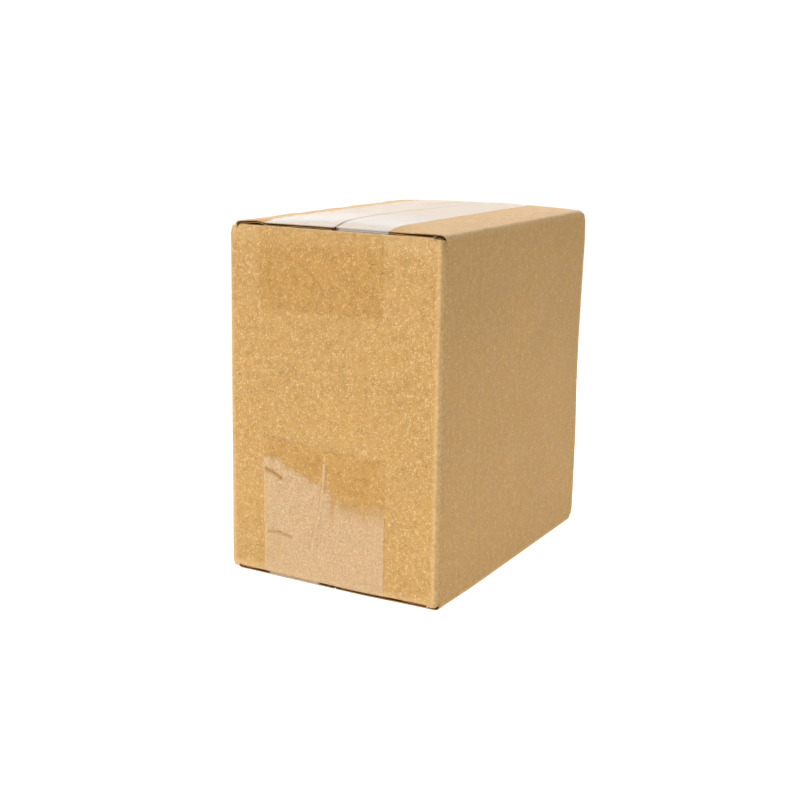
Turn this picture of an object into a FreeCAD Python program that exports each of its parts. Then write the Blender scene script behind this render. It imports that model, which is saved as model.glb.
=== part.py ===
import FreeCAD, Part
import os
import Sketcher

# A closed shipping carton: one sheet of corrugated board, folded, and two strips of clear film.
# Millimetres. The origin is on the floor under the middle of the box, +Z is up,
# X runs across the narrow end panels and the front end panel faces -Y.

# Driving dimensions
sizes = {
    "inside_width": 103.0,        # between the two long side panels
    "inside_length": 151.0,       # between the two end panels
    "inside_height": 153.2,       # between the lower and upper end flaps
    "board": 2.5,                 # thickness of the corrugated board
    "liner": 0.4,                 # flat sheet on each side of the fluted middle
    "open_depth": 2.0,            # how far the middle lies back from an edge cut along the flutes
    "fold_radius": 0.5,           # inside radius of every fold
    "layer_gap": 0.3,             # air between an end flap and the side flap that lies over it
    "slot_width": 6.0,            # cut between neighbouring flaps in the flat sheet
    "slot_root": 1.6,             # how far below the top, and above the bottom, a slot ends
    "seam_gap": 1.0,              # air between the two side flaps where they meet
    "glue_tab": 30.0,             # tab of the back panel, glued inside the left panel
    "joint_reveal": 0.4,          # bare tab left between its fold and the cut edge that covers it
    "film": 0.1,                  # thickness of the clear strips
    "tape_width": 63.5,
    "top_tape_shift": -5.0,       # middle of the top strip, from the middle of the box
    "bottom_tape_shift": -3.5,
    "top_tab_front": 37.5,        # how far each strip's end reaches along the end panel
    "top_tab_back": 44.0,
    "bottom_tab_front": 68.5,
    "bottom_tab_back": 52.0,
    "tooth_count": 32,            # notches along each torn end of a strip
    "tooth_depth": 1.0,
    "tooth_tip": 0.4,             # flat left between two notches
}

# Places worked out from the driving dimensions
places = {
    "half_width": "sizes.inside_width / 2 + sizes.board",
    "half_length": "sizes.inside_length / 2 + sizes.board",
    "inner_half_width": "sizes.inside_width / 2",
    "inner_half_length": "sizes.inside_length / 2",
    "fold_inner": "sizes.fold_radius",
    "fold_outer": "sizes.fold_radius + sizes.board",
    "carton_bottom": "sizes.film",
    "side_flap_floor": "places.carton_bottom + sizes.board",
    "end_flap_bottom": "places.side_flap_floor + sizes.layer_gap",
    "end_flap_floor": "places.end_flap_bottom + sizes.board",
    "end_flap_ceiling": "places.end_flap_floor + sizes.inside_height",
    "end_flap_top": "places.end_flap_ceiling + sizes.board",
    "side_flap_ceiling": "places.end_flap_top + sizes.layer_gap",
    "carton_top": "places.side_flap_ceiling + sizes.board",
    "end_fold_bottom": "places.end_flap_bottom + places.fold_outer",
    "end_fold_top": "places.end_flap_top - places.fold_outer",
    "corner_bottom": "places.carton_bottom + sizes.slot_root",
    "corner_top": "places.carton_top - sizes.slot_root",
    "corner_height": "places.corner_top - places.corner_bottom",
    "slot_setback": "(sizes.board + sizes.slot_width) / 2",
    "half_end_flap": "places.half_width - places.slot_setback",
    "half_side_flap": "places.half_length - places.slot_setback",
    "past_width": "places.half_width + sizes.board",
    "past_length": "places.half_length + sizes.board",
    "open_height": "sizes.board - 2 * sizes.liner",
    "open_edge": "places.half_side_flap - sizes.open_depth",
    "open_half_width": "places.half_width - places.fold_outer",
    "upper_opening": "places.side_flap_ceiling + sizes.liner",
    "lower_opening": "places.carton_bottom + sizes.liner",
    "half_seam": "sizes.seam_gap / 2",
    "flap_reach": "places.half_width - places.half_seam",
    "end_flap_edge": "places.half_length - places.flap_reach",
    "joint_edge": "places.half_length - places.fold_outer - sizes.joint_reveal",
    "joint_open_edge": "places.joint_edge - sizes.open_depth",
    "joint_outer": "places.half_width - sizes.liner",
    "joint_inner": "places.inner_half_width + sizes.liner",
    "joint_height": "places.end_fold_top - places.end_fold_bottom",
    "tab_inner_face": "places.inner_half_width - sizes.board",
    "tab_edge": "places.inner_half_length - sizes.glue_tab",
    "half_length_taped": "places.half_length + sizes.film",
    "wrap_outer": "places.slot_setback + sizes.film",
    "tape_top": "places.carton_top + sizes.film",
    "tape_bottom": "places.carton_bottom - sizes.film",
    "top_front_end": "places.carton_top - sizes.top_tab_front",
    "top_back_end": "places.carton_top - sizes.top_tab_back",
    "bottom_front_end": "places.carton_bottom + sizes.bottom_tab_front",
    "bottom_back_end": "places.carton_bottom + sizes.bottom_tab_back",
    "tooth_pitch": "sizes.tape_width / sizes.tooth_count",
    "tooth_row": "sizes.tape_width - places.tooth_pitch",
}


def addSizes(doc):
    sheet = doc.addObject("Spreadsheet::Sheet", "sizes")
    for row, (alias, value) in enumerate(sizes.items(), start=1):
        sheet.set(f"A{row}", alias)
        sheet.set(f"B{row}", str(value))
        sheet.setAlias(f"B{row}", alias)
    doc.recompute()


def addPlaces(doc):
    worked = doc.addObject("App::VarSet", "places")
    for name, formula in places.items():
        worked.addProperty("App::PropertyFloat", name, "places")
        worked.setExpression(name, formula)
    doc.recompute()
    return worked


def originPlane(body, role):
    return next(item for item in body.Origin.OriginFeatures if item.Role == role)


def addSketch(body, name, role):
    sketch = body.newObject("Sketcher::SketchObject", name)
    sketch.AttachmentSupport = (originPlane(body, role), [""])
    sketch.MapMode = "FlatFace"
    return sketch


def bind(sketch, constraint, formula):
    index = sketch.addConstraint(constraint)
    sketch.setExpression(f"Constraints[{index}]", formula)


# Value of a place, where a leading minus sign puts it on the other side of the middle
def valueOf(worked, place):
    if place.startswith("-"):
        return -getattr(worked, place[1:])
    return getattr(worked, place)


def formulaOf(place):
    if place.startswith("-"):
        return "-places." + place[1:]
    return "places." + place


# Closed outline of sides that run across or up in turn, each at a named place.
# The third entry of a side is the radius place of the corner after it, or None if it is sharp.
def drawOutline(sketch, worked, sides):
    count = len(sides)
    at = [valueOf(worked, side[1]) for side in sides]
    radii = [valueOf(worked, side[2]) if side[2] else 0.0 for side in sides]
    corners = []
    for i, side in enumerate(sides):
        after = at[(i + 1) % count]
        across, up = (after, at[i]) if side[0] == "across" else (at[i], after)
        corners.append(FreeCAD.Vector(across, up, 0))

    lines = []
    for i, side in enumerate(sides):
        along = (corners[i] - corners[i - 1]).normalize()
        start = corners[i - 1] + along * radii[i - 1]
        end = corners[i] - along * radii[i]
        line = sketch.addGeometry(Part.LineSegment(start, end))
        lines.append(line)
        if side[0] == "across":
            sketch.addConstraint(Sketcher.Constraint("Horizontal", line))
            bind(sketch, Sketcher.Constraint("DistanceY", -1, 1, line, 1, at[i]), formulaOf(side[1]))
        else:
            sketch.addConstraint(Sketcher.Constraint("Vertical", line))
            bind(sketch, Sketcher.Constraint("DistanceX", -1, 1, line, 1, at[i]), formulaOf(side[1]))

    for i, side in enumerate(sides):
        following = (i + 1) % count
        if not side[2]:
            sketch.addConstraint(Sketcher.Constraint("Coincident", lines[i], 2, lines[following], 1))
            continue
        before = (corners[i] - corners[i - 1]).normalize()
        after = (corners[following] - corners[i]).normalize()
        start = corners[i] - before * radii[i]
        end = corners[i] + after * radii[i]
        middle = start + after * radii[i]
        halfway = middle + (corners[i] - middle).normalize() * radii[i]
        arc = sketch.addGeometry(Part.Arc(start, halfway, end))
        leftTurn = before.cross(after).z > 0
        first, last = (1, 2) if leftTurn else (2, 1)
        sketch.addConstraint(Sketcher.Constraint("Tangent", lines[i], 2, arc, first))
        sketch.addConstraint(Sketcher.Constraint("Tangent", arc, last, lines[following], 1))
        bind(sketch, Sketcher.Constraint("Radius", arc, radii[i]), formulaOf(side[2]))


def addPad(body, name, sketch, length, symmetric):
    pad = body.newObject("PartDesign::Pad", name)
    pad.Profile = sketch
    pad.Midplane = symmetric
    pad.setExpression("Length", length)
    body.Tip = pad
    return pad


# A pocket cut upward from its sketch
def addPocket(body, name, sketch, length):
    pocket = body.newObject("PartDesign::Pocket", name)
    pocket.Profile = sketch
    pocket.Reversed = True
    pocket.setExpression("Length", length)
    body.Tip = pocket


def addMirror(body, name, feature, role):
    mirror = body.newObject("PartDesign::Mirrored", name)
    mirror.Originals = [feature]
    mirror.MirrorPlane = (originPlane(body, role), [""])
    body.Tip = mirror


# The four walls as high as the corners stand, with the glued corner at the back left
def addWalls(body, worked):
    sketch = addSketch(body, "wall_section", "XY_Plane")
    sketch.setExpression("AttachmentOffset.Base.z", "places.corner_bottom")
    drawOutline(sketch, worked, [
        ("across", "-half_length", "fold_outer"),
        ("up", "half_width", "fold_outer"),
        ("across", "half_length", "fold_outer"),
        ("up", "-inner_half_width", None),
        ("across", "joint_edge", None),
        ("up", "-half_width", "fold_outer"),
    ])
    drawOutline(sketch, worked, [
        ("across", "-inner_half_length", "fold_inner"),
        ("up", "inner_half_width", "fold_inner"),
        ("across", "inner_half_length", "fold_inner"),
        ("up", "-tab_inner_face", None),
        ("across", "tab_edge", None),
        ("up", "-inner_half_width", "fold_inner"),
    ])
    addPad(body, "walls", sketch, "places.corner_height", False)


# Room for the folds: only the four corners stand past the level where the end panels fold
def clearFolds(body, worked, name, level, upward):
    sketch = addSketch(body, name + "_plan", "XY_Plane")
    sketch.setExpression("AttachmentOffset.Base.z", f"places.{level}")
    drawOutline(sketch, worked, [
        ("across", "-past_length", None),
        ("up", "half_end_flap", None),
        ("across", "-half_side_flap", None),
        ("up", "past_width", None),
        ("across", "half_side_flap", None),
        ("up", "half_end_flap", None),
        ("across", "past_length", None),
        ("up", "-half_end_flap", None),
        ("across", "half_side_flap", None),
        ("up", "-past_width", None),
        ("across", "-half_side_flap", None),
        ("up", "-half_end_flap", None),
    ])
    clearing = body.newObject("PartDesign::Pocket", name)
    clearing.Profile = sketch
    clearing.Type = "ThroughAll"
    clearing.Reversed = upward
    body.Tip = clearing


# An end panel with the flaps folded from it, which lie inside, and its twin at the back
def addEndFlaps(body, worked):
    sketch = addSketch(body, "end_panel_section", "YZ_Plane")
    drawOutline(sketch, worked, [
        ("across", "end_flap_top", "fold_outer"),
        ("up", "-half_length", "fold_outer"),
        ("across", "end_flap_bottom", None),
        ("up", "-end_flap_edge", None),
        ("across", "end_flap_floor", "fold_inner"),
        ("up", "-inner_half_length", "fold_inner"),
        ("across", "end_flap_ceiling", None),
        ("up", "-end_flap_edge", None),
    ])
    flaps = addPad(body, "front_end_flaps", sketch, "2 * places.half_end_flap", True)
    addMirror(body, "back_end_flaps", flaps, "XZ_Plane")


# A side panel with the flaps folded from it, which lie outside and meet in the middle
def addSideFlaps(body, worked):
    sketch = addSketch(body, "side_panel_section", "XZ_Plane")
    drawOutline(sketch, worked, [
        ("across", "carton_top", "fold_outer"),
        ("up", "half_width", "fold_outer"),
        ("across", "carton_bottom", None),
        ("up", "half_seam", None),
        ("across", "side_flap_floor", "fold_inner"),
        ("up", "inner_half_width", "fold_inner"),
        ("across", "side_flap_ceiling", None),
        ("up", "half_seam", None),
    ])
    flaps = addPad(body, "right_side_flaps", sketch, "2 * places.half_side_flap", True)
    addMirror(body, "left_side_flaps", flaps, "YZ_Plane")


# The cut ends of the side flaps run along the flutes, so they are open between the liners
def openFlapEnds(body, worked, name, level):
    sketch = addSketch(body, name + "_plan", "XY_Plane")
    sketch.setExpression("AttachmentOffset.Base.z", f"places.{level}")
    for near, far in (("-past_length", "-open_edge"), ("open_edge", "past_length")):
        drawOutline(sketch, worked, [
            ("across", near, None),
            ("up", "open_half_width", None),
            ("across", far, None),
            ("up", "-open_half_width", None),
        ])
    addPocket(body, name, sketch, "places.open_height")


# The cut edge of the left panel beside the glued corner is open in the same way
def openJointEdge(body, worked):
    sketch = addSketch(body, "joint_opening_plan", "XY_Plane")
    sketch.setExpression("AttachmentOffset.Base.z", "places.end_fold_bottom")
    drawOutline(sketch, worked, [
        ("across", "joint_open_edge", None),
        ("up", "-joint_inner", None),
        ("across", "joint_edge", None),
        ("up", "-joint_outer", None),
    ])
    addPocket(body, "joint_opening", sketch, "places.joint_height")


def makeCarton(doc, worked):
    body = doc.addObject("PartDesign::Body", "carton")
    body.Label = "carton"
    addWalls(body, worked)
    clearFolds(body, worked, "top_clearing", "end_fold_top", True)
    clearFolds(body, worked, "bottom_clearing", "end_fold_bottom", False)
    addEndFlaps(body, worked)
    addSideFlaps(body, worked)
    openFlapEnds(body, worked, "top_opening", "upper_opening")
    openFlapEnds(body, worked, "bottom_opening", "lower_opening")
    openJointEdge(body, worked)
    return body


# Notches along one torn end of a strip, on the front tab or on the back one
def cutTeeth(body, worked, name, shift, end, depthSign, front):
    sketch = addSketch(body, name + "_notch", "XZ_Plane")
    tip = sizes["tooth_tip"] / 2
    left = sizes[shift] - sizes["tape_width"] / 2
    edge = valueOf(worked, end)
    depth = depthSign * sizes["tooth_depth"]
    points = [
        FreeCAD.Vector(left + tip, edge, 0),
        FreeCAD.Vector(left + worked.tooth_pitch / 2, edge + depth, 0),
        FreeCAD.Vector(left + worked.tooth_pitch - tip, edge, 0),
    ]
    for i in range(3):
        sketch.addGeometry(Part.LineSegment(points[i], points[(i + 1) % 3]))
    for i in range(3):
        sketch.addConstraint(Sketcher.Constraint("Coincident", i, 2, (i + 1) % 3, 1))
    start = f"sizes.{shift} - sizes.tape_width / 2"
    acrossFormulas = [
        f"{start} + sizes.tooth_tip / 2",
        f"{start} + places.tooth_pitch / 2",
        f"{start} + places.tooth_pitch - sizes.tooth_tip / 2",
    ]
    upFormulas = [
        f"places.{end}",
        f"places.{end} + {depthSign} * sizes.tooth_depth",
        f"places.{end}",
    ]
    for i, point in enumerate(points):
        bind(sketch, Sketcher.Constraint("DistanceX", -1, 1, i, 1, point.x), acrossFormulas[i])
        bind(sketch, Sketcher.Constraint("DistanceY", -1, 1, i, 1, point.y), upFormulas[i])

    notch = body.newObject("PartDesign::Pocket", name + "_tooth")
    notch.Profile = sketch
    notch.Type = "ThroughAll"
    notch.Reversed = front
    body.Tip = notch
    body.Document.recompute()
    row = body.newObject("PartDesign::LinearPattern", name + "_teeth")
    row.Originals = [notch]
    row.Direction = (sketch, ["H_Axis"])
    row.setExpression("Length", "places.tooth_row")
    row.setExpression("Occurrences", "sizes.tooth_count")
    body.Tip = row


# A strip of film along the seam, turned over the flap ends and down both end panels
def makeTape(doc, worked, name, shift, face, outerFace, frontEnd, backEnd, depthSign):
    body = doc.addObject("PartDesign::Body", name)
    body.Label = name
    sketch = addSketch(body, name + "_section", "YZ_Plane")
    sketch.setExpression("AttachmentOffset.Base.z", f"sizes.{shift}")
    drawOutline(sketch, worked, [
        ("across", outerFace, "wrap_outer"),
        ("up", "half_length_taped", None),
        ("across", backEnd, None),
        ("up", "half_length", "slot_setback"),
        ("across", face, "slot_setback"),
        ("up", "-half_length", None),
        ("across", frontEnd, None),
        ("up", "-half_length_taped", "wrap_outer"),
    ])
    addPad(body, name + "_strip", sketch, "sizes.tape_width", True)
    cutTeeth(body, worked, name + "_front", shift, frontEnd, depthSign, True)
    cutTeeth(body, worked, name + "_back", shift, backEnd, depthSign, False)
    return body


def checkDocument(doc, parts):
    for item in doc.Objects:
        if "Invalid" in item.State or "Error" in item.State:
            raise RuntimeError(f"{item.Name} failed: {item.State}")
    for part in parts:
        shape = part.Shape
        if shape.isNull() or not shape.isValid() or len(shape.Solids) != 1:
            raise RuntimeError(f"{part.Label} is not one valid solid")


def main():
    doc = FreeCAD.newDocument("closed_carton")
    addSizes(doc)
    worked = addPlaces(doc)
    parts = [
        makeCarton(doc, worked),
        makeTape(doc, worked, "top_tape", "top_tape_shift", "carton_top", "tape_top",
                 "top_front_end", "top_back_end", 1),
        makeTape(doc, worked, "bottom_tape", "bottom_tape_shift", "carton_bottom", "tape_bottom",
                 "bottom_front_end", "bottom_back_end", -1),
    ]
    doc.recompute()
    checkDocument(doc, parts)
    os.makedirs("parts", exist_ok=True)
    for part in parts:
        part.Shape.exportStep(f"parts/{part.Label}.step")
        print(part.Label, "volume", round(part.Shape.Volume, 1), "faces", len(part.Shape.Faces))


main()
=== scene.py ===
import bpy
import itertools
import math
import random
import numpy as np
from mathutils import Matrix, Vector


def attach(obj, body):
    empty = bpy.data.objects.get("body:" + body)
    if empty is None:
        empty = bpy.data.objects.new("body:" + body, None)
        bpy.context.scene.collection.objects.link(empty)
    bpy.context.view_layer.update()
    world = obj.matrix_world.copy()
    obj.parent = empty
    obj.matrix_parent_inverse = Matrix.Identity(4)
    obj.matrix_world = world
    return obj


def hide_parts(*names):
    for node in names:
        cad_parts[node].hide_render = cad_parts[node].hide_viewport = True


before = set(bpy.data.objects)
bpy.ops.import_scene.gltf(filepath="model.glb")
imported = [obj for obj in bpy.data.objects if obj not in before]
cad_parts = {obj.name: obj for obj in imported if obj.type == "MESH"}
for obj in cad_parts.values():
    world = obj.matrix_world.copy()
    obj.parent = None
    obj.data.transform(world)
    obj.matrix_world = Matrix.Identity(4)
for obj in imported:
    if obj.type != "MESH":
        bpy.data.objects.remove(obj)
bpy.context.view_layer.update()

# Closed carton with a strip of clear film along its top and bottom seams.
# Shapes are worked out in millimetres and scaled to metres when a mesh is made.
millimetre = 0.001

# Sizes shared by the board and the strips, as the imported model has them
box = {
    "halfWidth": 54.0,
    "halfLength": 78.0,
    "top": 163.9,
    "bottom": 0.1,
    "board": 2.5,
    "foldRadius": 3.0,        # outside of every fold
    "foldCrease": 2.0 / 2.7,  # below 1 makes the folds tighter than a plain arc
    "endFoldDrop": 5.8,       # from the flap faces to where the end panels start to fold
    "halfEndFlap": 49.75,
    "halfSideFlap": 73.75,
    "halfSeam": 0.5,
}


def smoothStep(low, high, value):
    t = np.clip((value - low) / (high - low), 0.0, 1.0)
    return t * t * (3.0 - 2.0 * t)


# Smooth waves that never repeat within the box, about -1 to 1
def drift(value, wavelength, phase):
    turn = 2.0 * math.pi * value / wavelength + phase
    second = 0.6 * np.sin(1.73 * turn + 1.3 * phase)
    third = 0.4 * np.sin(2.91 * turn + 0.7)
    return (np.sin(turn) + second + third) / 2.0


# How the used board differs from a flat-sided one, in millimetres
wear = {
    "crown": 2.1,             # rise of the upper side flaps along the seam
    "ridge": ([-70.0, -64.5, -57.0, -37.0, -17.0, 5.0, 24.0, 40.0],   # places along the seam
              [0.0, 0.35, 0.75, 1.1, 0.85, 0.55, 0.15, 0.0]),         # and the further rise there
    "frontHold": 0.82,        # share of the rise that the strip takes away at the front
    "backHold": 0.33,
    "frontCorner": 0.35,
    "backBulge": 0.35,
    "bottomLift": 0.6,
    "endFoldRise": 2.0,
    "endFoldSag": 0.2,
    "nearCornerLift": 0.8,
    "nearEdgeIn": 1.1,
    "nearEdgeOut": 0.6,
    "creaseWave": 0.22,
    "kink": ([0.0, 20.0, 50.0, 75.0, 100.0, 125.0, 150.0, 164.0],     # heights up the back right
             [0.0, 0.2, 0.2, -0.4, -0.45, 0.0, 0.5, 0.1]),            # edge and its shift there
}


# How far the upper side flaps stand above flat
def topCrown(x, y):
    across = np.clip(np.abs(x) / box["halfWidth"], 0.0, 1.0)
    swell = wear["crown"] * (1.0 - across ** 2.6)
    ridge = np.interp(y, *wear["ridge"])
    ridge = ridge * np.clip(1.0 - np.abs(x) / 25.0, 0.0, 1.0) ** 1.2
    rise = swell + ridge
    fromFront = y + box["halfSideFlap"]
    held = smoothStep(-42.0, -36.0, x)
    reach = 5.0 + 4.0 * smoothStep(25.0, 35.0, x)
    pull = 1.0 - held * wear["frontHold"] * np.exp(-(np.maximum(fromFront, 0.0) / reach) ** 1.5)
    fromBack = box["halfSideFlap"] - y
    slack = 1.0 - wear["backHold"] * np.exp(-np.maximum(fromBack, 0.0) / 14.0)
    rise = rise * pull * slack
    corner = smoothStep(34.0, 46.0, x) * (1.0 - smoothStep(50.0, 54.0, x))
    rise = rise + wear["frontCorner"] * corner * np.exp(-np.maximum(fromFront, 0.0) / 10.0)
    bulge = np.exp(-((x - 9.0) / 7.0) ** 2) * np.exp(-np.maximum(fromBack, 0.0) / 6.0)
    return rise + wear["backBulge"] * bulge


# How far the lower side flaps stand above flat
def bottomLift(x, y):
    across = np.clip(np.abs(x) / box["halfWidth"], 0.0, 1.0)
    along = np.clip(np.abs(y) / box["halfSideFlap"], 0.0, 1.0)
    return wear["bottomLift"] * (1.0 - across ** 2) * (1.0 - along ** 3)


# Outward swell of the end panels and of the side panels
def endSwell(x, z):
    span = np.clip(1.0 - (np.abs(x) / 50.0) ** 2, 0.0, 1.0)
    rise = np.clip(np.sin(math.pi * np.clip((z - 6.0) / 152.0, 0.0, 1.0)), 0.0, 1.0)
    return span * rise * (0.30 + 0.10 * drift(x + 0.4 * z, 70.0, 0.4))


def sideSwell(y, z):
    span = np.clip(1.0 - (np.abs(y) / 74.0) ** 2, 0.0, 1.0)
    rise = np.clip(np.sin(math.pi * np.clip((z - 4.0) / 156.0, 0.0, 1.0)), 0.0, 1.0)
    return span * rise * (0.35 + 0.15 * drift(y - 0.3 * z, 80.0, 1.9))


# Moves points of the flat-sided carton to where the used board stands
def settle(points):
    x, y, z = points[:, 0], points[:, 1], points[:, 2]
    moved = points.copy()
    # the inner faces of the flaps are at 161.4 and 2.6, those of the panels at 75.5 and 51.5
    onTop = smoothStep(161.15, 161.35, z)
    moved[:, 2] += onTop * topCrown(x, y)
    moved[:, 2] += (1.0 - smoothStep(2.6, 2.85, z)) * bottomLift(x, y)
    wall = smoothStep(2.0, 8.0, z) * (1.0 - smoothStep(154.0, 161.0, z))
    endWall = smoothStep(74.9, 75.3, np.abs(y)) * wall
    moved[:, 1] += np.sign(y) * endWall * endSwell(x, z)
    sideWall = smoothStep(48.9, 51.4, np.abs(x)) * wall
    moved[:, 0] += np.sign(x) * sideWall * sideSwell(y, z)
    # the end folds spring up beside the flap ends
    past = smoothStep(73.9, 75.6, np.abs(y))
    column = smoothStep(49.6, 51.0, np.abs(x))
    sprung = past * smoothStep(146.0, 160.0, z) * (1.0 - 0.6 * column)
    sagged = past * (1.0 - smoothStep(4.5, 14.0, z)) * (1.0 - column)
    moved[:, 2] += wear["endFoldRise"] * sprung - wear["endFoldSag"] * sagged
    # the near lower corner is bent up a little
    nearRight = smoothStep(8.0, 52.0, x) * smoothStep(30.0, 78.0, -y)
    moved[:, 2] += wear["nearCornerLift"] * nearRight * (1.0 - smoothStep(4.0, 30.0, z))
    # the ends of the upright corners lean in
    corner = smoothStep(49.7, 51.0, np.abs(x)) * smoothStep(73.7, 75.0, np.abs(y))
    lean = 0.055 * np.maximum(z - 158.1, 0.0) ** 2 + 0.04 * np.maximum(5.9 - z, 0.0) ** 2
    moved[:, 0] -= np.sign(x) * corner * lean
    moved[:, 1] -= np.sign(y) * corner * lean
    # the near left edge leans in above and out below
    nearLeft = smoothStep(30.0, 54.0, -x) * smoothStep(30.0, 78.0, -y)
    above = wear["nearEdgeIn"] * smoothStep(50.0, 160.0, z)
    below = wear["nearEdgeOut"] * (1.0 - smoothStep(0.0, 60.0, z))
    moved[:, 0] += nearLeft * (above - below)
    # wavy upper side creases and the kinked back right edge
    crease = smoothStep(45.0, 53.0, np.abs(x)) * smoothStep(150.0, 163.0, z)
    crease = crease * (1.0 - smoothStep(70.0, 78.0, np.abs(y)))
    moved[:, 2] += crease * wear["creaseWave"] * drift(y, 33.0, 2.1 + 0.02 * np.sign(x))
    kink = np.interp(z, *wear["kink"])
    moved[:, 0] += kink * smoothStep(30.0, 54.0, x) * smoothStep(20.0, 76.0, y)
    return moved


# Points on a straight run, closer together within reach of its ends where fine is given
def pointsOnRun(start, end, coarse, fine=None, reach=10.0):
    length = math.dist(start, end)
    if fine is None:
        places = list(np.linspace(0.0, length, max(1, round(length / coarse)) + 1))
    else:
        near = list(np.linspace(0.0, reach, round(reach / fine) + 1))
        middleCells = round((length - 2 * reach) / coarse)
        middle = list(np.linspace(reach, length - reach, middleCells + 1))
        places = near[:-1] + middle + [length - p for p in reversed(near[:-1])]
    along = ((end[0] - start[0]) / length, (end[1] - start[1]) / length)
    return [(start[0] + along[0] * p, start[1] + along[1] * p) for p in places]


carton = {
    "name": "folded_carton",
    "node": "carton",
    "slot": "board",
    "jointEdge": 74.6,         # cut edge of the left panel beside the glued corner
    "tabEdge": 45.5,
    "tabOuter": 51.5,
    "cornerTop": 161.6,
    "cornerBottom": 2.6,
    "liner": 0.4,
    "openDepth": 2.0,
    # painted shade: how far the cut rims and the hollow between the liners are darkened
    "cutShade": (0.6, 0.35, 1.0),   # darkness of a closed rim, of an open one and inside it
    "flutePitch": 6.3,
    "arcCells": 8,
    "cornerCrease": 2.0 / 4.2,  # below 1 makes the upright corners tighter than a round one
    "foldCells": 7,
    "wallCells": 56,
    "sideFlapCells": 26,
    "endFlapCells": 14,
    "grain": {"end": 1.0, "side": 0.50, "corner": 0.85, "tab": 0.4},   # strength of the flecks
    "crushedHalf": 0.13,       # half the thickness of the crushed fluting line
    "crushedNear": ([20.0, 31.0, 38.0, 48.0], [0.62, 0.62, 0.42, 0.12]),
}


# Columns round the box on its outer face: place, direction to the inside, distance round.
# A kind goes with each cell between two columns.
def cartonColumns():
    w, l, r = box["halfWidth"], box["halfLength"], box["foldRadius"]
    e, q = box["halfEndFlap"], box["halfSideFlap"]
    t = carton["tabOuter"]
    columns = []
    kinds = []

    def addPlace(x, y, inward, kind):
        if columns:
            gap = math.dist((x, y), columns[-1][:2])
            if gap < 1e-6:
                columns[-1] = (x, y, inward[0], inward[1], columns[-1][4])
                return
            kinds.append(kind)
            columns.append((x, y, inward[0], inward[1], columns[-1][4] + gap))
        else:
            columns.append((x, y, inward[0], inward[1], 0.0))

    def addRun(kind, start, end, inward, coarse, fine=None):
        for x, y in pointsOnRun(start, end, coarse, fine):
            addPlace(x, y, inward, kind)

    def addBend(centre, first, last):
        for i in range(carton["arcCells"] + 1):
            a = math.radians(first + (last - first) * i / carton["arcCells"])
            c, s = math.cos(a), math.sin(a)
            x = centre[0] + r * math.copysign(abs(c) ** carton["cornerCrease"], c)
            y = centre[1] + r * math.copysign(abs(s) ** carton["cornerCrease"], s)
            innerX = centre[0] + (r - box["board"]) * c
            innerY = centre[1] + (r - box["board"]) * s
            addPlace(x, y, ((innerX - x) / box["board"], (innerY - y) / box["board"]), "corner")

    addRun("corner", (-w, carton["jointEdge"]), (-w, q), (1, 0), 1.0)
    addRun("side", (-w, q), (-w, -q), (1, 0), 2.6, 1.25)
    addRun("corner", (-w, -q), (-w, r - l), (1, 0), 1.0)
    addBend((r - w, r - l), 180.0, 270.0)
    addRun("corner", (r - w, -l), (-e, -l), (0, 1), 1.0)
    addRun("end", (-e, -l), (e, -l), (0, 1), 2.6, 1.25)
    addRun("corner", (e, -l), (w - r, -l), (0, 1), 1.0)
    addBend((w - r, r - l), 270.0, 360.0)
    addRun("corner", (w, r - l), (w, -q), (-1, 0), 1.0)
    addRun("side", (w, -q), (w, q), (-1, 0), 2.6, 1.25)
    addRun("corner", (w, q), (w, l - r), (-1, 0), 1.0)
    addBend((w - r, l - r), 0.0, 90.0)
    addRun("corner", (w - r, l), (e, l), (0, -1), 1.0)
    addRun("end", (e, l), (r - t, l), (0, -1), 2.6)
    addBend((r - t, l - r), 90.0, 180.0)
    addRun("corner", (-t, l - r), (-t, q), (1, 0), 1.0)
    addRun("tab", (-t, q), (-t, carton["tabEdge"]), (1, 0), 3.0)
    return columns, kinds


# Rows of each kind of cell, from the lower flap's free edge to the upper one's
def cartonRows():
    endLow = box["bottom"] + box["endFoldDrop"]
    endHigh = box["top"] - box["endFoldDrop"]
    sideLow = box["bottom"] + box["foldRadius"]
    sideHigh = box["top"] - box["foldRadius"]
    heights = np.linspace(endLow, endHigh, carton["wallCells"] + 1)
    walls = [("wall", round(float(z), 4)) for z in heights]

    def flapRows(kind, cells):
        reach = box["halfWidth"] - box["foldRadius"] - box["halfSeam"]
        steps = np.linspace(0.0, reach, cells + 1)
        turns = np.linspace(0.0, 90.0, carton["foldCells"] + 1)[1:-1]
        upper, lower = [], []
        for side, table in ((1, upper), (-1, lower)):
            table += [("fold", kind, side, float(a)) for a in turns]
            table += [("flap", kind, side, float(p)) for p in steps]
        return lower[::-1], upper

    endLower, endUpper = flapRows("end", carton["endFlapCells"])
    sideLower, sideUpper = flapRows("side", carton["sideFlapCells"])
    tall = [("wall", sideLow)] + walls + [("wall", sideHigh)]
    return {
        "end": endLower + walls + endUpper,
        "side": sideLower + tall + sideUpper,
        "corner": [("wall", carton["cornerBottom"])] + tall + [("wall", carton["cornerTop"])],
        "tab": walls,
    }


# Way inward and up round the outside of a fold, which is creased tighter than a plain arc
def foldProfile(degrees):
    r = box["foldRadius"]
    a = math.radians(degrees)
    return r - r * math.cos(a) ** box["foldCrease"], r * math.sin(a) ** box["foldCrease"]


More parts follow.
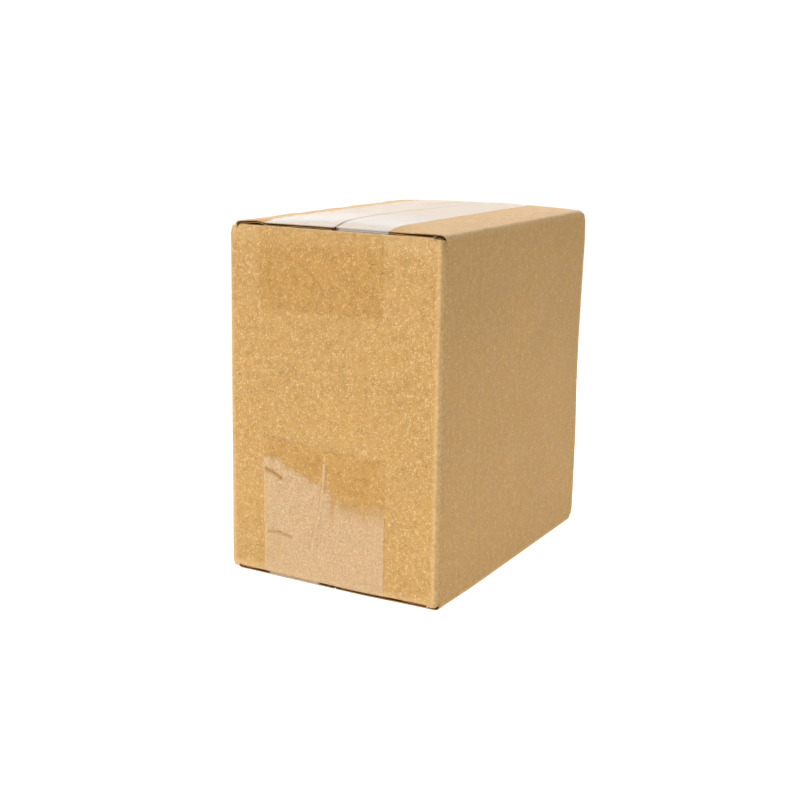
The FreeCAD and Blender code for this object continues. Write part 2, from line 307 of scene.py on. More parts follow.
# Outer and inner point of the board at a column and row
def boardPoint(column, row):
    x, y, nx, ny = column[:4]
    thick = box["board"]
    r = box["foldRadius"]
    if row[0] == "wall":
        return (x, y, row[1]), (x + thick * nx, y + thick * ny, row[1])
    kind, side = row[1], row[2]
    drop = box["endFoldDrop"] if kind == "end" else r
    level = box["top"] - drop if side > 0 else box["bottom"] + drop
    if row[0] == "fold":
        a = math.radians(row[3])
        across, up = foldProfile(row[3])
        acrossIn = r - (r - thick) * math.cos(a)
        upIn = (r - thick) * math.sin(a)
    else:
        across = acrossIn = r + row[3]
        up, upIn = r, r - thick
    outer = (x + across * nx, y + across * ny, level + side * up)
    inner = (x + acrossIn * nx, y + acrossIn * ny, level + side * upIn)
    return outer, inner


# One folded sheet with its real thickness. Its rims are five strips, so that a rim can be open
# between the two liners.
def cartonShape():
    columns, kinds = cartonColumns()
    rows = cartonRows()
    index = {}
    outer, inner = [], []
    grain, along = [], []

    def vertexAt(c, row, kind):
        key = (c, row)
        if key not in index:
            index[key] = len(outer)
            o, i = boardPoint(columns[c], row)
            outer.append(o)
            inner.append(i)
            grain.append(carton["grain"][kind])
            along.append(columns[c][4])
        return index[key]

    cells = []
    for c, kind in enumerate(kinds):
        for low, high in zip(rows[kind], rows[kind][1:]):
            cells.append((vertexAt(c, low, kind), vertexAt(c + 1, low, kind),
                          vertexAt(c + 1, high, kind), vertexAt(c, high, kind)))

    # vertices whose rim is open, with the vertex that lies inward along the sheet: the flap ends
    # but for their last step, most of the fold beside them, and the left panel's glued edge
    opened = {}
    sides = [c for c, kind in enumerate(kinds) if kind == "side"]
    for c in sides:
        for edge, inside in ((c, c + 1), (c + 1, c)):
            outside = kinds[edge - 1] if edge == c else kinds[edge]
            if outside == "side":
                continue
            for row in rows["side"]:
                if row[0] == "flap" and row[3] < 50.0 or row[0] == "fold" and row[3] > 20.0:
                    opened[index[(edge, row)]] = index[(inside, row)]
    for row in rows["tab"][1:-1]:
        opened[index[(0, row)]] = index[(1, row)]

    count = len(outer)
    outer = np.array(outer)
    inner = np.array(inner)
    extra = []
    extraFacts = []
    used = {}
    for cell in cells:
        for a, b in zip(cell, cell[1:] + cell[:1]):
            key = (min(a, b), max(a, b))
            used.setdefault(key, []).append((a, b))
    rims = [pair[0] for pair in used.values() if len(pair) == 1]

    rings = {}
    # painted shade on each cut rim, strongest inside an open one
    closedShade, openShade, deepShade = carton["cutShade"]

    def ringOf(v):
        if v in rings:
            return rings[v]
        o, i = outer[v], inner[v]
        share = carton["liner"] / np.linalg.norm(i - o)
        upper = o + (i - o) * share
        lower = i + (o - i) * share
        first = 2 * count + len(extra)
        if v in opened:
            inward = outer[opened[v]] - o
            inward = inward / np.linalg.norm(inward) * carton["openDepth"]
            extra.extend([upper, upper + inward, lower + inward, lower])
            extraFacts.extend([(v, openShade), (v, deepShade), (v, deepShade), (v, openShade)])
            ring = [v, first, first + 1, first + 2, first + 3, v + count]
        else:
            extra.extend([upper, lower])
            extraFacts.extend([(v, closedShade), (v, closedShade)])
            ring = [v, first, first, first + 1, first + 1, v + count]
        rings[v] = ring
        return ring

    faces = list(cells)
    faces += [tuple(v + count for v in reversed(cell)) for cell in cells]
    for a, b in rims:
        ringA, ringB = ringOf(a), ringOf(b)
        for k in range(5):
            face = []
            for v in (ringB[k], ringA[k], ringA[k + 1], ringB[k + 1]):
                if v not in face:
                    face.append(v)
            if len(face) > 2:
                faces.append(tuple(face))
    points = np.vstack([outer, inner, np.array(extra)])
    facts = {
        "grain": grain + grain + [grain[v] for v, cut in extraFacts],
        "along": along + along + [along[v] for v, cut in extraFacts],
        "paintedCutShade": [0.0] * (2 * count) + [cut for v, cut in extraFacts],
    }
    return settle(points), faces, facts


# The fluted middle shows in an open cut end as one thin crushed line that wanders between
# the liners
def middleStrips():
    points, faces = [], []
    half = carton["crushedHalf"]
    deep = box["board"] - carton["liner"]
    levels = (
        (1, box["top"] - deep, box["top"] - carton["liner"]),
        (-1, box["bottom"] + carton["liner"], box["bottom"] + deep),
    )
    steps = np.linspace(2.0, 51.5, 60)
    for side, (level, low, high), wing in itertools.product((-1, 1), levels, (-1, 1)):
        start = len(points)
        for x in steps:
            wander = 0.5 + 0.2 * float(drift(wing * x + 11.0 * side, 31.0, 0.9 * side + level))
            if wing > 0 and side < 0 and level > 0:
                wander = float(np.interp(x, *carton["crushedNear"]))
            z = low + (high - low) * min(max(wander, 0.14), 0.86)
            front = box["halfSideFlap"] - 0.25 - 0.15 * float(drift(x, 9.0, 1.0 + wing))
            back = box["halfSideFlap"] - 2.1
            for y, dz in ((front, -half), (front, half), (back, half), (back, -half)):
                points.append((wing * x, side * y, z + dz))
        for k in range(len(steps) - 1):
            a, b = start + 4 * k, start + 4 * (k + 1)
            for m in range(4):
                n = (m + 1) % 4
                faces.append((a + m, a + n, b + n, b + m))
        last = start + 4 * (len(steps) - 1)
        faces.append((start + 3, start + 2, start + 1, start))
        faces.append((last, last + 1, last + 2, last + 3))
    points = settle(np.array(points))
    count = len(points)
    facts = {"grain": [0.5] * count, "along": [0.0] * count, "paintedCutShade": [0.15] * count}
    return points, faces, facts


def makeMesh(name, points, faces, facts):
    mesh = bpy.data.meshes.new(name)
    mesh.from_pydata([tuple(p) for p in np.asarray(points) * millimetre], [], faces)
    for key, values in facts.items():
        layer = mesh.attributes.new(key, "FLOAT", "POINT")
        layer.data.foreach_set("value", np.array(values, dtype=np.float32))
    mesh.update()
    mesh.validate()
    mesh.polygons.foreach_set("use_smooth", [True] * len(mesh.polygons))
    piece = bpy.data.objects.new(name, mesh)
    bpy.context.collection.objects.link(piece)
    return piece


# Marks as hard the edges where two faces meet at more than this angle
def sharpen(piece, degrees):
    mesh = piece.data
    normals = np.zeros(len(mesh.polygons) * 3)
    mesh.polygons.foreach_get("normal", normals)
    normals = normals.reshape(-1, 3)
    limit = math.cos(math.radians(degrees))
    owner = {}
    for polygon in mesh.polygons:
        for key in polygon.edge_keys:
            owner.setdefault(key, []).append(polygon.index)
    hard = []
    for edge in mesh.edges:
        pair = owner.get(tuple(sorted(edge.vertices)), [])
        hard.append(len(pair) == 2 and float(normals[pair[0]] @ normals[pair[1]]) < limit)
    layer = mesh.attributes.new("sharp_edge", "BOOLEAN", "EDGE")
    layer.data.foreach_set("value", hard)


# Small helpers for node trees
def newMaterial(name):
    material = bpy.data.materials.new(name)
    material.use_nodes = True
    tree = material.node_tree
    tree.nodes.clear()
    return material, tree


def addNode(tree, kind, settings=None, inputs=None):
    node = tree.nodes.new(kind)
    for key, value in (settings or {}).items():
        setattr(node, key, value)
    for key, value in (inputs or {}).items():
        socket = node.inputs[key]
        if isinstance(value, bpy.types.NodeSocket):
            tree.links.new(value, socket)
        else:
            socket.default_value = value
    return node


def calc(tree, operation, a, b=0.0, c=0.0, clamp=False):
    settings = {"operation": operation, "use_clamp": clamp}
    return addNode(tree, "ShaderNodeMath", settings, {0: a, 1: b, 2: c}).outputs[0]


def product(tree, first, *others):
    for other in others:
        first = calc(tree, "MULTIPLY", first, other)
    return first


def ramp(tree, value, low, high, first=0.0, last=1.0):
    settings = {"interpolation_type": "SMOOTHSTEP"}
    inputs = {"Value": value, "From Min": low, "From Max": high, "To Min": first, "To Max": last}
    return addNode(tree, "ShaderNodeMapRange", settings, inputs).outputs[0]


def noiseOf(tree, place, scale, detail=3.0, roughness=0.5, distortion=0.0):
    node = addNode(tree, "ShaderNodeTexNoise", None,
                   {"Vector": place, "Scale": scale, "Detail": detail, "Roughness": roughness,
                    "Distortion": distortion})
    return node.outputs["Fac"]


def mixColors(tree, amount, first, second, blend="MIX"):
    node = addNode(tree, "ShaderNodeMix", {"data_type": "RGBA", "blend_type": blend})
    for key, value in ((0, amount), (6, first), (7, second)):
        if isinstance(value, bpy.types.NodeSocket):
            tree.links.new(value, node.inputs[key])
        else:
            node.inputs[key].default_value = value
    return node.outputs[2]


def factOf(tree, name):
    return addNode(tree, "ShaderNodeAttribute", {"attribute_name": name}).outputs["Fac"]


def vectorCalc(tree, operation, first, second):
    settings = {"operation": operation}
    return addNode(tree, "ShaderNodeVectorMath", settings, {0: first, 1: second}).outputs[0]


# Coordinates of the piece in millimetres
def placeOf(tree, scale=(1.0, 1.0, 1.0)):
    source = addNode(tree, "ShaderNodeTexCoord").outputs["Object"]
    return vectorCalc(tree, "MULTIPLY", source, tuple(s / millimetre for s in scale))


# Noise taken about its middle, from about -0.5 to 0.5
def centred(tree, value):
    return calc(tree, "SUBTRACT", value, 0.5)


def greyOf(tree, value):
    return addNode(tree, "ShaderNodeCombineXYZ", None, {0: value, 1: value, 2: value}).outputs[0]


def bumpOf(tree, height):
    inputs = {"Strength": 1.0, "Distance": millimetre, "Height": height}
    return addNode(tree, "ShaderNodeBump", None, inputs).outputs[0]


# Sum of patterns, each taken at its share
def weighted(tree, patterns, shares, total):
    for name, share in shares.items():
        total = calc(tree, "MULTIPLY_ADD", patterns[name], share, total)
    return total


def showSurface(tree, shader):
    out = addNode(tree, "ShaderNodeOutputMaterial")
    tree.links.new(shader.outputs[0], out.inputs["Surface"])


# Colours of the paper and the strength of its marks
kraft = {
    "paper": (0.450, 0.259, 0.081, 1.0),
    # pale: tone of the rubbed paper and painted highlight on the rounded edges
    "pale": (0.640, 0.440, 0.220, 1.0),
    "fleck": (0.740, 0.520, 0.270, 1.0),
    "dark": (0.230, 0.110, 0.030, 1.0),
    # near-black colour of the painted shade in the cut rims and between the liners
    "inside": (0.085, 0.035, 0.012, 1.0),
    "shade": {"broad": 0.16, "cloud": 0.16, "fine": 0.48, "flute": 0.018},
    "relief": {"fine": 0.09, "light": 0.05, "darker": -0.05, "flute": 0.02, "cloud": 0.12},
    "marks": (("light", 0.55, "fleck"), ("darker", 0.60, "dark"), ("speck", 0.55, "fleck")),
    # paler bands of rubbed paper and painted highlight on the rounded corners and folds
    "rubbedAndHighlit": (                # strength, and the two bands of |x|, |y| or z that meet there
        (0.60, ("x", 50.6, 53.0), ("y", 74.4, 77.2)),
        (0.30, ("z", 154.0, 158.6), ("y", 75.0, 76.6)),
        (0.55, ("z", 7.6, 4.6), ("y", 75.0, 76.0)),
        (0.45, ("z", 160.4, 163.0), ("x", 50.0, 52.5)),
        (0.45, ("z", 3.4, 1.4), ("x", 50.5, 52.0)),
    ),
    "roughness": (0.48, 0.60),
    "shine": 0.15,
}


# Thin wandering lines, like single fibres in the paper
def fibres(tree, place, scale, width, distortion):
    value = noiseOf(tree, place, scale, 1.0, 0.4, distortion)
    off = calc(tree, "ABSOLUTE", centred(tree, value))
    return ramp(tree, off, 0.0, width, 1.0, 0.0)


def boardMaterial():
    material, tree = newMaterial("kraft_board")
    place = placeOf(tree)
    parts = addNode(tree, "ShaderNodeSeparateXYZ", None, {0: place})
    axes = {"x": calc(tree, "ABSOLUTE", parts.outputs[0]),
            "y": calc(tree, "ABSOLUTE", parts.outputs[1]),
            "z": parts.outputs[2]}
    grain = factOf(tree, "grain")
    cloudy = noiseOf(tree, place, 0.16, 3.0, 0.6)
    fine = noiseOf(tree, place, 1.1, 3.0, 0.65)

    # flutes under the outer liner, seen as faint stripes up the walls and along the flaps
    fluteTurn = calc(tree, "MULTIPLY", factOf(tree, "along"), 2.0 * math.pi / carton["flutePitch"])
    fluteShow = ramp(tree, noiseOf(tree, place, 0.05, 1.0), 0.35, 0.7, 0.15, 1.0)

    lightPatch = ramp(tree, noiseOf(tree, place, 0.45, 2.0), 0.46, 0.60, 0.08, 1.0)
    darkPatch = ramp(tree, noiseOf(tree, place, 0.31, 2.0, 0.5, 0.4), 0.42, 0.62, 0.15, 1.0)
    darkPlace = vectorCalc(tree, "ADD", place, (31.7, 17.3, 9.1))
    speck = ramp(tree, noiseOf(tree, place, 1.1, 1.0, 0.6), 0.63, 0.69)
    patterns = {
        "broad": centred(tree, noiseOf(tree, place, 0.022, 2.0)),
        "cloud": centred(tree, cloudy),
        "fine": product(tree, centred(tree, fine), grain),
        "flute": product(tree, calc(tree, "SINE", fluteTurn), fluteShow),
        "light": product(tree, fibres(tree, place, 0.62, 0.080, 1.6), lightPatch, grain),
        "darker": product(tree, fibres(tree, darkPlace, 0.62, 0.06, 1.8), darkPatch, grain),
        "speck": product(tree, speck, grain),
    }
    shade = greyOf(tree, weighted(tree, patterns, kraft["shade"], 1.0))
    color = mixColors(tree, 1.0, kraft["paper"], shade, "MULTIPLY")
    for name, strength, tone in kraft["marks"]:
        color = mixColors(tree, product(tree, patterns[name], strength), color, kraft[tone])

    # paler along the upright corners and where the panels fold: rubbed paper, with a painted
    # highlight on the rounded edges
    rubbedAndHighlit = 0.0
    for strength, first, second in kraft["rubbedAndHighlit"]:
        bands = [ramp(tree, axes[axis], low, high) for axis, low, high in (first, second)]
        rubbedAndHighlit = calc(tree, "MAXIMUM", rubbedAndHighlit, product(tree, *bands, strength))
    uneven = ramp(tree, noiseOf(tree, place, 0.5, 3.0, 0.6), 0.3, 0.7, 0.35, 1.0)
    color = mixColors(tree, product(tree, rubbedAndHighlit, uneven), color, kraft["pale"])
    # painted shade: the cut rims, and most of all the hollow inside the open ones, darkened toward
    # near black
    color = mixColors(tree, factOf(tree, "paintedCutShade"), color, kraft["inside"])

    bump = bumpOf(tree, weighted(tree, patterns, kraft["relief"], 0.0))
    roughness = ramp(tree, cloudy, 0.3, 0.7, *kraft["roughness"])
    shader = addNode(tree, "ShaderNodeBsdfPrincipled", None,
                     {"Base Color": color, "Roughness": roughness,
                      "Specular IOR Level": kraft["shine"], "Normal": bump})
    showSurface(tree, shader)
    return material


film = {
    "thick": 0.06,
    "clear": 0.03,             # over the board where it is stuck
    "columns": 128,
    "teeth": 32,
    "toothDepth": 1.0,
    "tornRows": 4.0,           # length of the end whose rows follow the teeth
    "lowest": (0.01, 0.07),    # of the outer and the inner face above the floor
    "tint": (0.987, 0.977, 0.952, 1.0),
    "slantTint": (0.860, 0.870, 0.880, 1.0),
    "pressTint": (0.86, 0.78, 0.66, 1.0),
    "veil": (0.26, 0.38),      # share of milk where the film is hazy
    "spots": 1.15,
    "gloss": 0.2,
    "mirror": (0.51, -0.002, 0.172),   # gain at a slant, what is taken off it, and its most
}

topTape = {
    "name": "top_film",
    "node": "top_tape",
    "slot": "tape",
    "side": 1,
    "shift": -5.0,
    "width": 63.5,
    "frontReach": 37.5,
    "backReach": 44.0,
    "frontSlant": 0.6,
    "backSlant": -2.0,
    "seed": 3,
    "haze": (0.86, 0.85, 0.83, 1.0),
    "wrinkle": [(-17.0, 34.0), (-12.5, 50.0), (-8.3, 64.0)],
}

bottomTape = {
    "name": "bottom_film",
    "node": "bottom_tape",
    "slot": "tape",
    "side": -1,
    "shift": -3.5,
    "width": 63.5,
    "frontReach": 68.5,
    "backReach": 52.0,
    "frontSlant": 3.6,
    "backSlant": 2.5,
    "seed": 5,
    "haze": (0.76, 0.56, 0.34, 1.0),
    "stuckFrom": ([-36.0, -27.0, -24.5, -15.8, -10.4, -3.5, 1.0, 8.0, 18.0, 29.0],   # places
                  [60.0, 60.0, 57.5, 55.0, 52.2, 51.5, 50.0, 46.0, 45.5, 48.0]),     # and heights
    "softness": ([-36.0, -4.0, 6.0, 29.0], [3.0, 3.5, 12.0, 14.0]),
    "fold": [(-2.4, 59.0), (-3.0, 48.0), (-4.1, 38.3), (-6.8, 28.4), (-9.8, 12.0)],
    "pressed": (               # line, half width and depth of each pressed mark
        ([(-34.3, 52.8), (-30.0, 52.0), (-25.8, 49.6)], 0.95, 0.8),
        ([(-33.0, 23.2), (-27.0, 23.8), (-20.4, 22.5)], 0.6, 0.7),
        ([(-4.2, 49.0), (-5.5, 38.3), (-8.4, 28.0), (-10.8, 18.0)], 0.35, 0.45),
    ),
}


# Distance from a broken line of points, and how far along it the nearest point is, 0 to 1
def lineDistance(x, z, line):
    best = np.full(x.shape, 1e9)
    share = np.zeros(x.shape)
    lengths = [math.dist(p, q) for p, q in zip(line, line[1:])]
    total = sum(lengths)
    done = 0.0
    for (p, q), length in zip(zip(line, line[1:]), lengths):
        ux, uz = (q[0] - p[0]) / length, (q[1] - p[1]) / length
        t = np.clip((x - p[0]) * ux + (z - p[1]) * uz, 0.0, length)
        gap = np.hypot(x - p[0] - ux * t, z - p[1] - uz * t)
        nearer = gap < best
        best = np.where(nearer, gap, best)
        share = np.where(nearer, (done + t) / total, share)
        done += length
    return best, share


# Lift of the film off the board, its haze and its pressed marks on the loose front end of the
# lower strip
def looseEnd(x, z):
    edge = np.interp(x, *bottomTape["stuckFrom"]) + 0.8 * drift(x, 7.0, 0.3)
    haze = smoothStep(0.0, 1.0, (edge - z) / np.interp(x, *bottomTape["softness"]))
    lift = 0.22 * haze * (1.0 + 0.5 * drift(x + 0.6 * z, 23.0, 1.1))
    # a narrow streak that is stuck again
    streakMiddle = 2.8 - 0.05 * (60.0 - z) + 0.7 * drift(z, 13.0, 0.6)
    streakHalf = 1.5 + 0.6 * drift(z, 9.0, 2.2)
    streak = np.exp(-((x - streakMiddle) / streakHalf) ** 2)
    streak = streak * smoothStep(31.0, 42.0, z) * (1.0 - smoothStep(57.0, 62.0, z))
    haze = haze * (1.0 - 0.85 * streak)
    lift = lift * (1.0 - 0.9 * streak)

    foldGap, foldAlong = lineDistance(x, z, bottomTape["fold"])
    foldWide = 0.75 + 0.7 * foldAlong
    foldFade = 1.0 - smoothStep(0.85, 1.0, foldAlong)
    lift = lift + 0.55 * np.exp(-(foldGap / foldWide) ** 2) * foldFade
    haze = np.maximum(haze, 0.95 * np.exp(-(foldGap / (foldWide * 1.1)) ** 4))

    dark = np.zeros(x.shape)
    for line, wide, deep in bottomTape["pressed"]:
        gap = lineDistance(x, z, line)[0]
        press = deep * np.exp(-(gap / wide) ** 2)
        dark = np.maximum(dark, press)
        lift = lift * (1.0 - press)
    # fine ripples near the left edge
    ripple = smoothStep(-36.0, -34.0, x) * (1.0 - smoothStep(-28.0, -23.0, x))
    ripple = ripple * smoothStep(9.0, 12.0, z) * (1.0 - smoothStep(19.5, 22.0, z))
    wave = np.sin(2.0 * math.pi * (z + 0.16 * x + 0.3 * drift(x, 5.0, 0.2)) / 1.7)
    lift = lift + 0.10 * ripple * (1.0 + wave)
    haze = np.clip(haze * (1.0 - 0.25 * ripple * (0.5 - 0.5 * wave)), 0.0, 1.0)
    return lift, haze * (1.0 - dark), dark


# The strip's rows from its front end to its back end: distance from the middle, height from the
# flap faces, part of the strip, share of a bridge
def filmPath(tape, xs):
    drop = box["endFoldDrop"]
    wall = box["halfLength"]
    flap = box["halfSideFlap"]
    perTooth = film["columns"] // film["teeth"]
    random.seed(tape["seed"])

    def tornEnd(reach, slant):
        ends = []
        for k in range(film["columns"] + 1):
            phase = (k % perTooth) / perTooth
            depth = film["toothDepth"] * (1.0 - abs(2.0 * phase - 1.0))
            lean = slant * (0.5 - k / film["columns"])
            ends.append(reach + lean - depth + random.uniform(-0.12, 0.12))
        return np.array(ends)

    def tabRows(ends, reach):
        straight = reach - film["tornRows"]
        heights = np.linspace(drop, straight, max(8, round((straight - drop) / 0.8)))[::-1]
        torn = [ends + (straight - ends) * share for share in np.linspace(0.0, 1.0, 6)[:-1]]
        return torn + [np.full(xs.shape, h) for h in heights[:-1]]

    frontEnds = tornEnd(tape["frontReach"], tape["frontSlant"])
    backEnds = tornEnd(tape["backReach"], tape["backSlant"])
    crest = []
    for a in np.linspace(0.0, 90.0, 10):
        across, up = foldProfile(float(a))
        crest.append((wall - across, drop - up))
    bridge = np.linspace(0.0, 1.0, 8)[1:-1]
    face = pointsOnRun((-flap, 0.0), (flap, 0.0), 2.0, 0.8, 12.0)

    path = [(-wall, h, "front", None) for h in tabRows(frontEnds, tape["frontReach"])]
    path += [(-y, h, "front", None) for y, h in crest]
    path += [(-flap, 0.0, "frontBridge", t) for t in bridge]
    path += [(point[0], 0.0, "face", None) for point in face]
    path += [(flap, 0.0, "backBridge", t) for t in bridge[::-1]]
    path += [(y, h, "back", None) for y, h in reversed(crest)]
    path += [(wall, h, "back", None) for h in reversed(tabRows(backEnds, tape["backReach"]))]
    return path


# Points of the strip on the board: up or down the front panel, over the flap ends, along the
# flaps and the same at the back. Returns them with the film's lift, haze and pressed marks.
def filmShape(tape):
    side = tape["side"]
    level = box["top"] if side > 0 else box["bottom"]
    half = tape["width"] / 2.0
    xs = tape["shift"] + np.linspace(-half, half, film["columns"] + 1)
    path = filmPath(tape, xs)

    base = np.zeros((len(path), len(xs), 3))
    for k, (y, h, part, share) in enumerate(path):
        columns = [xs, np.full(xs.shape, y), np.broadcast_to(level - side * h, xs.shape)]
        base[k] = settle(np.stack(columns, axis=1))
    for name in ("frontBridge", "backBridge"):
        rows = [k for k, row in enumerate(path) if row[2] == name]
        ends = (rows[0] - 1, rows[-1] + 1)
        low, high = ends if name == "frontBridge" else ends[::-1]
        for k in rows:
            t = path[k][3]
            base[k] = base[low] * (1.0 - t) + base[high] * t

    lift = np.full((len(path), len(xs)), film["clear"])
    haze = np.zeros((len(path), len(xs)))
    press = np.zeros((len(path), len(xs)))
    for k, (y, h, part, share) in enumerate(path):
        ys, zs = base[k, :, 1], base[k, :, 2]
        arch = math.sin(math.pi * share) if share else 0.0
        if side < 0 and part == "front":
            rise, pale, press[k] = looseEnd(xs, zs)
            lift[k] += rise * smoothStep(2.0, 9.0, zs)
            fringe = np.clip(0.6 + 0.7 * drift(xs, 2.6, 1.4), 0.0, 1.0) if k < 2 else 0.0
            haze[k] = np.maximum(pale, fringe * (0.9 if k == 0 else 0.35))
        elif part == "frontBridge":
            loose = smoothStep(1.0, 3.0, xs) if side > 0 else 1.0 - smoothStep(-9.0, -7.0, xs)
            rise, pale = (0.10, 0.55) if side > 0 else (0.35, 0.95)
            lift[k] += arch * (rise * loose - 0.05 * (1.0 - loose))
            haze[k] = pale * loose
        elif part == "backBridge":
            lift[k] += 0.1 * arch
            haze[k] = 0.3
        elif part == "face" and side > 0:
            seam = np.exp(-(xs / 0.8) ** 2)
            gap, along = lineDistance(xs, ys, tape["wrinkle"])
            fade = smoothStep(0.0, 0.1, along) * (1.0 - smoothStep(0.9, 1.0, along))
            wrinkle = np.exp(-(gap / 0.9) ** 2) * fade
            lift[k] += 0.22 * wrinkle
            nearSeam = 1.0 - smoothStep(0.0, 60.0, ys)
            press[k] = np.maximum(0.95 * seam * nearSeam, 0.7 * wrinkle)
            haze[k] = 0.75 * (1.0 - smoothStep(-66.0, -6.0, ys)) * (1.0 - seam)
    return base, lift, haze, press


# A closed film of even thickness over a grid of points, raised along its own normals
def filmPiece(tape, material):
    base, lift, haze, press = filmShape(tape)
    side = tape["side"]
    tangent = np.gradient(base, axis=0)
    ny = -side * tangent[:, :, 2]
    nz = side * tangent[:, :, 1]
    size = np.hypot(ny, nz)
    normal = np.stack([np.zeros_like(ny), ny / size, nz / size], axis=2)
    inner = base + normal * lift[:, :, None]
    outer = base + normal * (lift + film["thick"])[:, :, None]
    if side < 0:
        outer[:, :, 2] = np.maximum(outer[:, :, 2], film["lowest"][0])
        inner[:, :, 2] = np.maximum(inner[:, :, 2], film["lowest"][1])
    rows, cols = base.shape[:2]
    count = rows * cols
    points = np.vstack([outer.reshape(-1, 3), inner.reshape(-1, 3)])
    faces = []
    for i in range(rows - 1):
        for j in range(cols - 1):
            a = i * cols + j
            quad = (a, a + 1, a + 1 + cols, a + cols)
            if side < 0:
                quad = quad[::-1]
            faces.append(quad)
            faces.append(tuple(v + count for v in reversed(quad)))
    border = list(range(cols)) + [i * cols + cols - 1 for i in range(1, rows)]
    border += [(rows - 1) * cols + j for j in range(cols - 2, -1, -1)]
    border += [i * cols for i in range(rows - 2, 0, -1)]
    for a, b in zip(border, border[1:] + border[:1]):
        quad = (b, a, a + count, b + count)
        faces.append(quad if side > 0 else quad[::-1])
    facts = {
        "haze": np.concatenate([haze.ravel(), haze.ravel()]),
        "press": np.concatenate([press.ravel(), press.ravel()]),
    }
    piece = makeMesh(tape["name"], points, faces, facts)
    sharpen(piece, 60.0)
    piece.data.materials.append(material)
    return piece


def filmMaterial(tape):
    material, tree = newMaterial(tape["name"] + "_look")
    place = placeOf(tree)
    mottled = noiseOf(tree, place, 0.5, 3.0, 0.6)
    patterns = {
        "mottled": centred(tree, mottled),
        "wrinkle": centred(tree, noiseOf(tree, placeOf(tree, (1.0, 0.12, 1.0)), 0.35, 2.0)),
        "spots": centred(tree, noiseOf(tree, place, 1.1, 3.0, 0.65)),
    }
    bump = bumpOf(tree, weighted(tree, patterns, {"wrinkle": 0.12, "mottled": 0.006}, 0.0))
    facing = addNode(tree, "ShaderNodeLayerWeight", None, {"Blend": 0.5}).outputs["Facing"]

    clear = mixColors(tree, ramp(tree, facing, 0.62, 0.80), film["tint"], film["slantTint"])
    tint = mixColors(tree, factOf(tree, "press"), clear, film["pressTint"])
    through = addNode(tree, "ShaderNodeBsdfTransparent", None, {"Color": tint})
    spots = greyOf(tree, weighted(tree, patterns, {"spots": film["spots"]}, 1.0))
    milkColor = mixColors(tree, 1.0, tape["haze"], spots, "MULTIPLY")
    milk = addNode(tree, "ShaderNodeBsdfDiffuse", None, {"Color": milkColor, "Normal": bump})
    shine = addNode(tree, "ShaderNodeBsdfGlossy", None, {"Roughness": film["gloss"], "Normal": bump})

    veil = product(tree, factOf(tree, "haze"), ramp(tree, mottled, 0.25, 0.75, *film["veil"]))
    body = addNode(tree, "ShaderNodeMixShader", None,
                   {0: veil, 1: through.outputs[0], 2: milk.outputs[0]})
    gain, less, most = film["mirror"]
    slant = calc(tree, "MULTIPLY_ADD", calc(tree, "POWER", facing, 5.0), gain, less, True)
    mirror = calc(tree, "MINIMUM", slant, most)
    whole = addNode(tree, "ShaderNodeMixShader", None,
                    {0: mirror, 1: body.outputs[0], 2: shine.outputs[0]})
    showSurface(tree, whole)
    return material


studio = {
    "floorSize": 12.0,
    "floorColor": (0.35, 0.35, 0.35, 1.0),
    "floorGlow": (0.92, 0.53),  # round the box and far from it
    "sky": 0.20,               # all round
    "overhead": 1.35,          # added straight above
    "horizon": 0.45,           # added in a band close above the floor, as the backdrop
    "rearLobe": 2.00,          # added in a broad patch behind, which the film mirrors
    "rearWay": (-0.44, 0.80, 0.42),
    "dimSide": 0.95,           # taken off toward the right face
    "keyFrom": (-0.50, -0.95, 0.50),
    "keyStrength": 2.70,
    "keyAngle": 40.0,
    "fillPlace": (0.24, 0.0, 0.03),   # a low strip light beside the right face
    "fillSize": (0.30, 0.05),
    "fillPower": 0.13,
}


def addFloor():
    half = studio["floorSize"] / 2.0
    mesh = bpy.data.meshes.new("floor")
    corners = [(-half, -half, 0), (half, -half, 0), (half, half, 0), (-half, half, 0)]
    mesh.from_pydata(corners, [], [(0, 1, 2, 3)])
    floor = bpy.data.objects.new("floor", mesh)
    bpy.context.collection.objects.link(floor)
    material, tree = newMaterial("floor_white")
    place = addNode(tree, "ShaderNodeTexCoord").outputs["Object"]
    away = addNode(tree, "ShaderNodeVectorMath", {"operation": "LENGTH"}, {0: place})
    glow = ramp(tree, away.outputs["Value"], 0.25, 0.75, *studio["floorGlow"])
    shader = addNode(tree, "ShaderNodeBsdfPrincipled", None,
                     {"Base Color": studio["floorColor"], "Roughness": 0.9,
                      "Specular IOR Level": 0.1, "Emission Color": (1.0, 1.0, 1.0, 1.0),
                      "Emission Strength": glow})
    showSurface(tree, shader)
    mesh.materials.append(material)


def pointAt(item, direction):
    item.rotation_mode = "QUATERNION"
    item.rotation_quaternion = direction.to_track_quat("-Z", "Y")


# A white surround: dim all round, lighter overhead and near the floor, and brightest behind
def addWorld():
    world = bpy.data.worlds.new("studio_world")
    bpy.context.scene.world = world
    world.use_nodes = True
    tree = world.node_tree
    back = tree.nodes["Background"]
    way = addNode(tree, "ShaderNodeTexCoord").outputs["Generated"]
    parts = addNode(tree, "ShaderNodeSeparateXYZ", None, {0: way})
    across, height = parts.outputs[0], parts.outputs[2]
    rearWay = tuple(Vector(studio["rearWay"]).normalized())
    facing = addNode(tree, "ShaderNodeVectorMath", {"operation": "DOT_PRODUCT"},
                     {0: way, 1: rearWay})
    rear = ramp(tree, facing.outputs["Value"], 0.35, 0.93, 0.0, studio["rearLobe"])
    light = calc(tree, "ADD", rear, studio["sky"])
    light = calc(tree, "ADD", ramp(tree, height, 0.70, 0.98, 0.0, studio["overhead"]), light)
    light = product(tree, ramp(tree, across, 0.15, 0.75, 1.0, 1.0 - studio["dimSide"]), light)
    light = calc(tree, "ADD", ramp(tree, height, 0.10, 0.20, studio["horizon"], 0.0), light)
    back.inputs[0].default_value = (1.0, 1.0, 1.0, 1.0)
    tree.links.new(light, back.inputs[1])


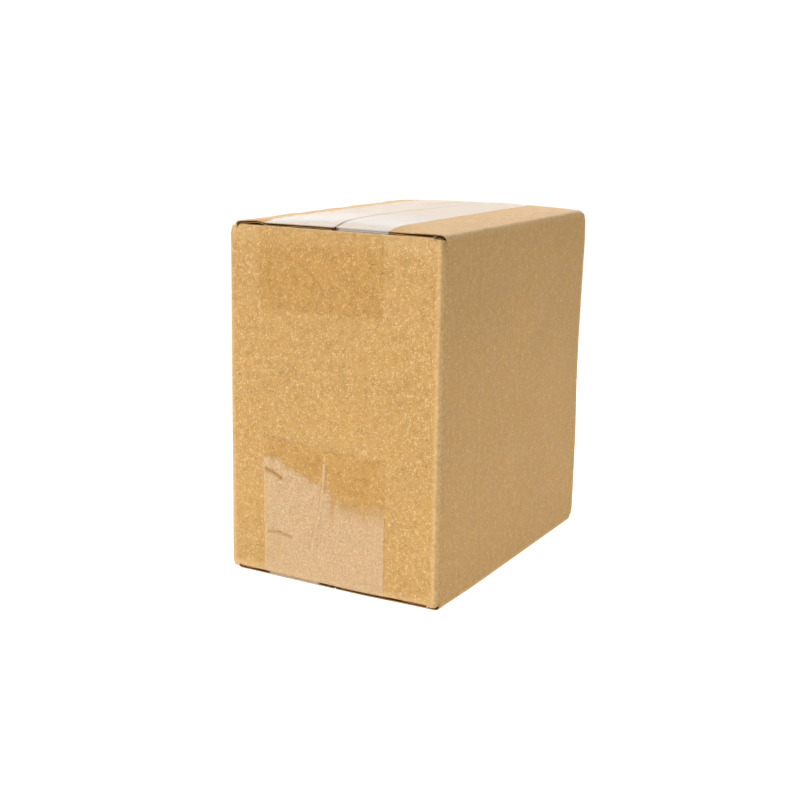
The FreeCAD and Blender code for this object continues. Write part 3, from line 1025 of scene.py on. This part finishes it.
def addLights():
    key = bpy.data.objects.new("key_light", bpy.data.lights.new("key_light", "SUN"))
    key.data.energy = studio["keyStrength"]
    key.data.angle = math.radians(studio["keyAngle"])
    pointAt(key, -Vector(studio["keyFrom"]))
    bpy.context.collection.objects.link(key)
    fill = bpy.data.objects.new("fill_light", bpy.data.lights.new("fill_light", "AREA"))
    fill.data.shape = "RECTANGLE"
    fill.data.size, fill.data.size_y = studio["fillSize"]
    fill.data.energy = studio["fillPower"]
    fill.location = studio["fillPlace"]
    fill.rotation_euler = (math.radians(90.0), 0.0, math.radians(90.0))
    fill.visible_camera = False
    bpy.context.collection.objects.link(fill)


camera = {
    "azimuth": 29.442,
    "elevation": 13.399,
    "roll": 0.785,
    "distance": 0.63062,
    "aside": -0.00765,
    "height": 0.07368,
    "lens": 57.785,
}


def addCamera():
    az, el, roll = (math.radians(camera[key]) for key in ("azimuth", "elevation", "roll"))
    back = Vector((math.sin(az) * math.cos(el), -math.cos(az) * math.cos(el), math.sin(el)))
    right = Vector((math.cos(az), math.sin(az), 0.0))
    up = back.cross(right)
    across = math.cos(roll) * right + math.sin(roll) * up
    upward = -math.sin(roll) * right + math.cos(roll) * up
    item = bpy.data.objects.new("camera", bpy.data.cameras.new("camera"))
    item.data.lens = camera["lens"]
    item.data.sensor_width = 36.0
    item.data.clip_start = 0.01
    item.data.clip_end = 50.0
    place = back * camera["distance"] + right * camera["aside"]
    place.z += camera["height"]
    item.matrix_world = Matrix((
        (across.x, upward.x, back.x, place.x),
        (across.y, upward.y, back.y, place.y),
        (across.z, upward.z, back.z, place.z),
        (0.0, 0.0, 0.0, 1.0),
    ))
    bpy.context.collection.objects.link(item)
    bpy.context.scene.camera = item


print("materials")
boardLook = boardMaterial()

print("carton")
cartonPoints, cartonFaces, cartonFacts = cartonShape()
stripPoints, stripFaces, stripFacts = middleStrips()
offset = len(cartonPoints)
cartonFaces = cartonFaces + [tuple(v + offset for v in face) for face in stripFaces]
cartonFacts = {key: list(cartonFacts[key]) + list(stripFacts[key]) for key in cartonFacts}
cartonPoints = np.vstack([cartonPoints, stripPoints])
cartonPiece = makeMesh(carton["name"], cartonPoints, cartonFaces, cartonFacts)
sharpen(cartonPiece, 50.0)
cartonPiece.data.materials.append(boardLook)
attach(cartonPiece, "root")
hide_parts(carton["node"])

print("films")
for tape in (topTape, bottomTape):
    tapePiece = filmPiece(tape, filmMaterial(tape))
    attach(tapePiece, "root")
    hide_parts(tape["node"])

print("studio")
addFloor()
addWorld()
addLights()
addCamera()
bpy.context.scene.view_settings.view_transform = "Standard"

print("done")
